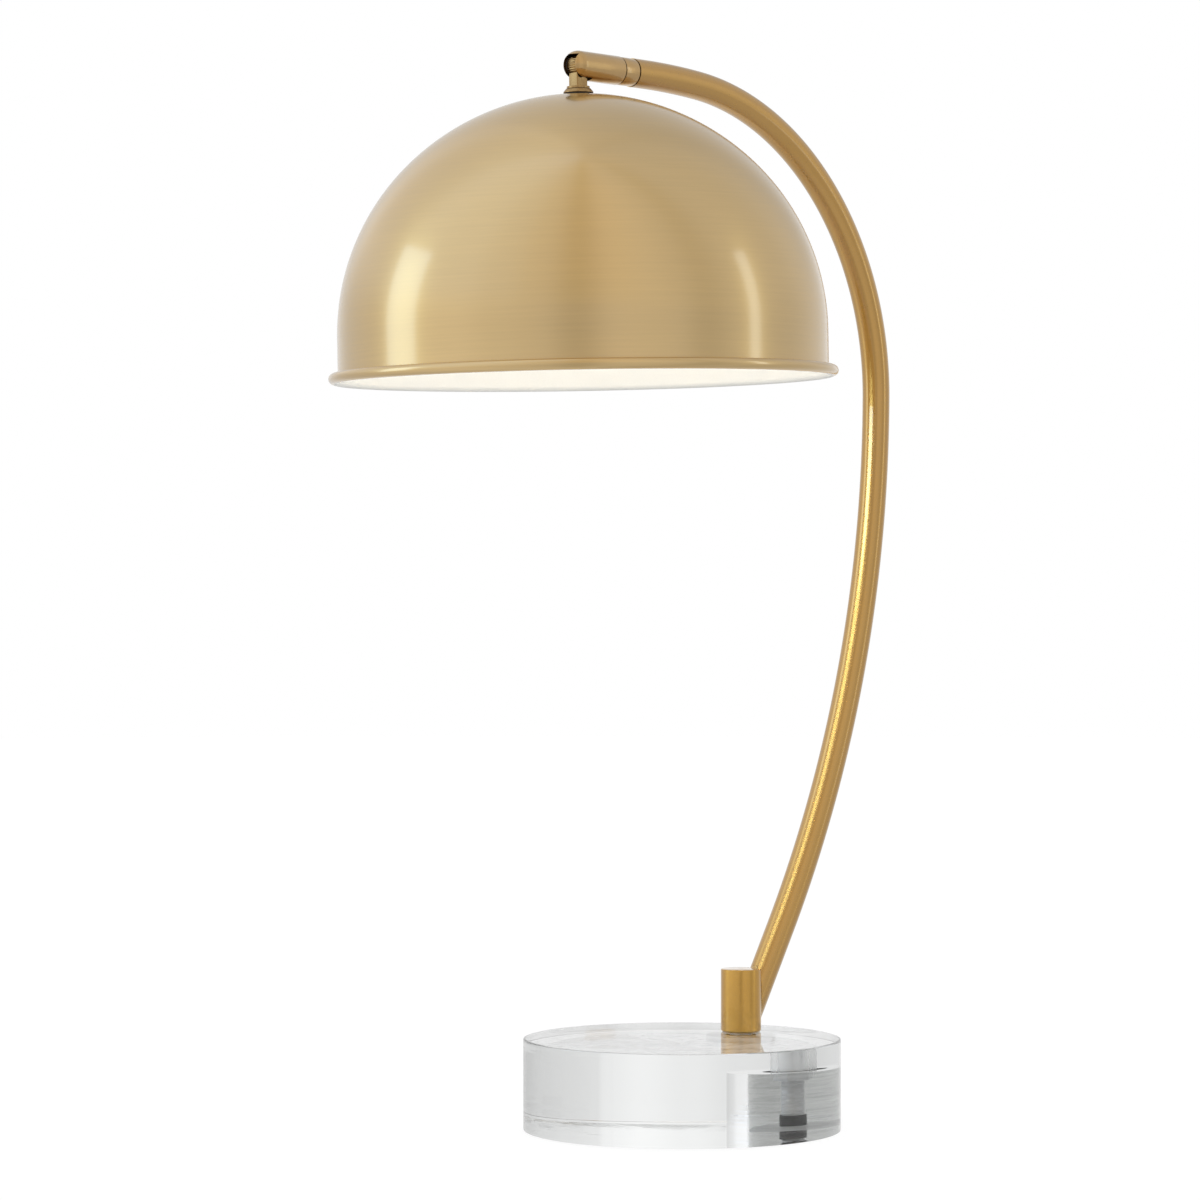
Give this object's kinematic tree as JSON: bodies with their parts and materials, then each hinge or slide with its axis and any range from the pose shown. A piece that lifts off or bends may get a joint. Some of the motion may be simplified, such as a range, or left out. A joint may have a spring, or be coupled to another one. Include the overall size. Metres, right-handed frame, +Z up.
{
  "type": "desk lamp",
  "caption": "Desk lamp with a thick clear round base, a bent brass tube arm, a turning and tilting knuckle and a domed brass shade with a rolled rim.",
  "frame": {"origin": "centre of the pad's underside, on the desk", "axes": "+Z up; the shade hangs towards -Y, in front, and the arm bows out towards +Y; +X to the right as seen from the front"},
  "size_m": [0.2787, 0.3904, 0.597],
  "materials": {
    "clear_acrylic": "clear polished acrylic",
    "clear_pad": "translucent non-slip sheet",
    "steel": "plated steel",
    "post_brass": "satin turned brass, lacquered",
    "arm_brass": "satin brushed brass, lacquered",
    "joint_brass": "satin turned brass, lacquered",
    "shade_brass": "spun, brushed round the axis, lacquered; painted white inside",
    "friction_washer": "moulded nylon",
    "gasket_rubber": "matt black rubber",
    "black_plastic": "moulded black plastic",
    "cable_jacket": "insulated wire",
    "socket_brass": "thin drawn brass",
    "liner_card": "insulating card",
    "bulb_aluminium": "rolled aluminium",
    "bulb_glaze": "dark vitrified insulator",
    "bulb_glass": "clear glass",
    "tungsten": "filament"
  },
  "bodies": {
    "stand": {"base_pad": "clear_pad", "base_block": "clear_acrylic", "base_rod": "steel", "base_washer": "steel", "base_nut": "steel", "rod_cap": "black_plastic", "post": "post_brass", "arm_tube": "arm_brass", "cord_bushing": "black_plastic", "arm_wire": "cable_jacket", "arm_insert": "arm_brass", "swivel_ring": "joint_brass", "turn_screw": "steel", "turn_washer": "steel"},
    "knuckle": {"knuckle": "joint_brass", "tilt_pin": "steel", "tilt_washers": "friction_washer"},
    "head": {"tongue": "joint_brass", "crown_ring": "joint_brass", "crown_gasket": "gasket_rubber", "shade_shell": "shade_brass", "inner_washer": "steel", "lock_nut": "steel", "socket_cap": "socket_brass", "socket_shell": "socket_brass", "socket_liner": "liner_card", "socket_core": "black_plastic", "socket_thread": "socket_brass", "socket_contact": "socket_brass", "terminal_screws": "steel", "head_leads": "cable_jacket", "bulb_contact": "socket_brass", "bulb_insulator": "bulb_glaze", "bulb_cap": "bulb_aluminium", "bulb_globe": "bulb_glass", "bulb_stem": "bulb_glass", "bulb_filament": "tungsten"},
    "switch_key": {"switch_shaft": "steel", "switch_knob": "black_plastic"}
  },
  "joints": [
    {"name": "head_turn", "type": "hinge", "parent": "stand", "child": "knuckle", "pos_m": [0, -0.08199, 0.589], "axis": [0, -1, 0], "range_deg": [-90, 90]},
    {"name": "shade_tilt", "type": "hinge", "parent": "knuckle", "child": "head", "pos_m": [0, -0.08199, 0.589], "axis": [-1, 0, 0], "range_deg": [-6, 80]},
    {"name": "switch_turn", "type": "hinge", "parent": "head", "child": "switch_key", "pos_m": [0, -0.08075, 0.54032], "axis": [1, 0, 0], "continuous": true}
  ]
}
